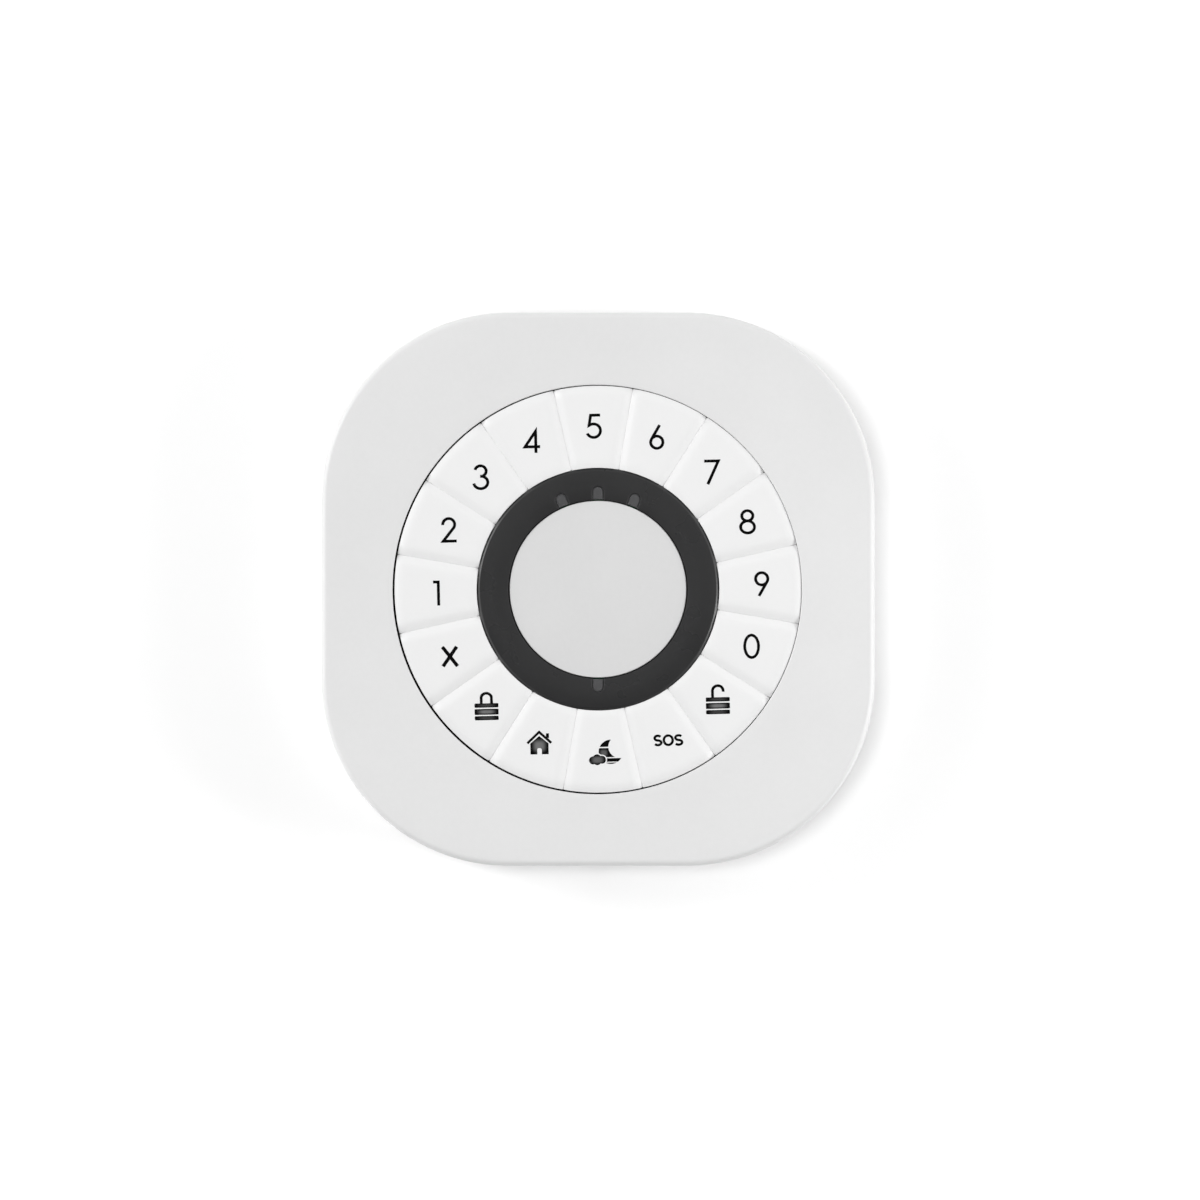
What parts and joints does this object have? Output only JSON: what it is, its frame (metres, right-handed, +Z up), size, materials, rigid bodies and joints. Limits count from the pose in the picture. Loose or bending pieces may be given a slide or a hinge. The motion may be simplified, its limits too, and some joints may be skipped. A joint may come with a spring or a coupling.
{
  "type": "alarm keypad panel",
  "caption": "Wall-mounted alarm keypad: rounded square panel, ring of sprung keys round a tag reader, on a hook-on bracket.",
  "frame": {"origin": "on the wall, at the back face of the bracket, on the axis of the dial", "axes": "+Z up the wall, +X to the right as the user faces the panel, -Y out of the wall towards the user"},
  "size_m": [0.125, 0.0246, 0.125],
  "materials": {
    "white_plastic": "fine satin texture",
    "key_plastic": "smooth satin",
    "smoked_plastic": "smoked, semi gloss",
    "grey_plastic": "fine satin texture",
    "light_pipe": "translucent, semi gloss",
    "led": "clear moulding",
    "silicone": "matte",
    "circuit_board": "green solder resist",
    "black_plastic": "moulded",
    "copper": "enamelled wire",
    "steel": "plated",
    "cell_jacket": "printed sleeve, plain"
  },
  "bodies": {
    "bracket": {"wall_bracket": "white_plastic"},
    "panel": {"front_housing": "white_plastic", "rear_housing": "white_plastic", "hub_frame": "white_plastic", "indicator_ring": "smoked_plastic", "reader_cover": "grey_plastic", "light_pipe_top": "light_pipe", "light_pipe_left": "light_pipe", "light_pipe_right": "light_pipe", "light_pipe_bottom": "light_pipe", "led_top": "led", "led_left": "led", "led_right": "led", "led_bottom": "led", "key_membrane": "silicone", "main_board": "circuit_board", "controller_chip": "black_plastic", "buzzer": "black_plastic", "tamper_switch": "black_plastic", "reader_coil": "copper", "battery_spring_upper": "steel", "battery_spring_lower": "steel", "contact_bridge": "steel", "contact_positive": "steel", "contact_negative": "steel", "radio_module": "steel", "antenna": "steel", "tamper_spring": "steel", "lock_screw": "steel", "housing_screw_upper_left": "steel", "housing_screw_upper_right": "steel", "housing_screw_lower_left": "steel", "housing_screw_lower_right": "steel", "hub_screw_1": "steel", "hub_screw_2": "steel", "hub_screw_3": "steel", "battery_upper": "cell_jacket", "battery_lower": "cell_jacket"},
    "battery_cover": {"battery_cover": "white_plastic"},
    "tamper_plunger": {"tamper_plunger": "white_plastic"},
    "key_5": {"key_5": "key_plastic"},
    "key_6": {"key_6": "key_plastic"},
    "key_7": {"key_7": "key_plastic"},
    "key_8": {"key_8": "key_plastic"},
    "key_9": {"key_9": "key_plastic"},
    "key_0": {"key_0": "key_plastic"},
    "key_disarm": {"key_disarm": "key_plastic"},
    "key_sos": {"key_sos": "key_plastic"},
    "key_arm_night": {"key_arm_night": "key_plastic"},
    "key_arm_home": {"key_arm_home": "key_plastic"},
    "key_arm_away": {"key_arm_away": "key_plastic"},
    "key_cancel": {"key_cancel": "key_plastic"},
    "key_1": {"key_1": "key_plastic"},
    "key_2": {"key_2": "key_plastic"},
    "key_3": {"key_3": "key_plastic"},
    "key_4": {"key_4": "key_plastic"}
  },
  "joints": [
    {"name": "panel_lift", "type": "slide", "parent": "bracket", "child": "panel", "axis": [0, 0, 1], "range_m": [0, 0.006]},
    {"name": "battery_cover_swing", "type": "hinge", "parent": "panel", "child": "battery_cover", "pos_m": [0, -0.0025, -0.0118], "axis": [1, 0, 0], "range_deg": [0, 70]},
    {"name": "tamper_release", "type": "slide", "parent": "panel", "child": "tamper_plunger", "axis": [0, 1, 0], "range_m": [0, 0.0024], "deforming": ["tamper_spring"]},
    {"name": "press_5", "type": "slide", "parent": "panel", "child": "key_5", "axis": [0, 1, 0], "range_m": [0, 0.0008], "stiffness_N_per_m": 500, "deforming": ["key_membrane"]},
    {"name": "press_6", "type": "slide", "parent": "panel", "child": "key_6", "axis": [0, 1, 0], "range_m": [0, 0.0008], "stiffness_N_per_m": 500},
    {"name": "press_7", "type": "slide", "parent": "panel", "child": "key_7", "axis": [0, 1, 0], "range_m": [0, 0.0008], "stiffness_N_per_m": 500},
    {"name": "press_8", "type": "slide", "parent": "panel", "child": "key_8", "axis": [0, 1, 0], "range_m": [0, 0.0008], "stiffness_N_per_m": 500},
    {"name": "press_9", "type": "slide", "parent": "panel", "child": "key_9", "axis": [0, 1, 0], "range_m": [0, 0.0008], "stiffness_N_per_m": 500},
    {"name": "press_0", "type": "slide", "parent": "panel", "child": "key_0", "axis": [0, 1, 0], "range_m": [0, 0.0008], "stiffness_N_per_m": 500},
    {"name": "press_disarm", "type": "slide", "parent": "panel", "child": "key_disarm", "axis": [0, 1, 0], "range_m": [0, 0.0008], "stiffness_N_per_m": 500},
    {"name": "press_sos", "type": "slide", "parent": "panel", "child": "key_sos", "axis": [0, 1, 0], "range_m": [0, 0.0008], "stiffness_N_per_m": 500},
    {"name": "press_arm_night", "type": "slide", "parent": "panel", "child": "key_arm_night", "axis": [0, 1, 0], "range_m": [0, 0.0008], "stiffness_N_per_m": 500},
    {"name": "press_arm_home", "type": "slide", "parent": "panel", "child": "key_arm_home", "axis": [0, 1, 0], "range_m": [0, 0.0008], "stiffness_N_per_m": 500},
    {"name": "press_arm_away", "type": "slide", "parent": "panel", "child": "key_arm_away", "axis": [0, 1, 0], "range_m": [0, 0.0008], "stiffness_N_per_m": 500},
    {"name": "press_cancel", "type": "slide", "parent": "panel", "child": "key_cancel", "axis": [0, 1, 0], "range_m": [0, 0.0008], "stiffness_N_per_m": 500},
    {"name": "press_1", "type": "slide", "parent": "panel", "child": "key_1", "axis": [0, 1, 0], "range_m": [0, 0.0008], "stiffness_N_per_m": 500},
    {"name": "press_2", "type": "slide", "parent": "panel", "child": "key_2", "axis": [0, 1, 0], "range_m": [0, 0.0008], "stiffness_N_per_m": 500},
    {"name": "press_3", "type": "slide", "parent": "panel", "child": "key_3", "axis": [0, 1, 0], "range_m": [0, 0.0008], "stiffness_N_per_m": 500},
    {"name": "press_4", "type": "slide", "parent": "panel", "child": "key_4", "axis": [0, 1, 0], "range_m": [0, 0.0008], "stiffness_N_per_m": 500}
  ]
}
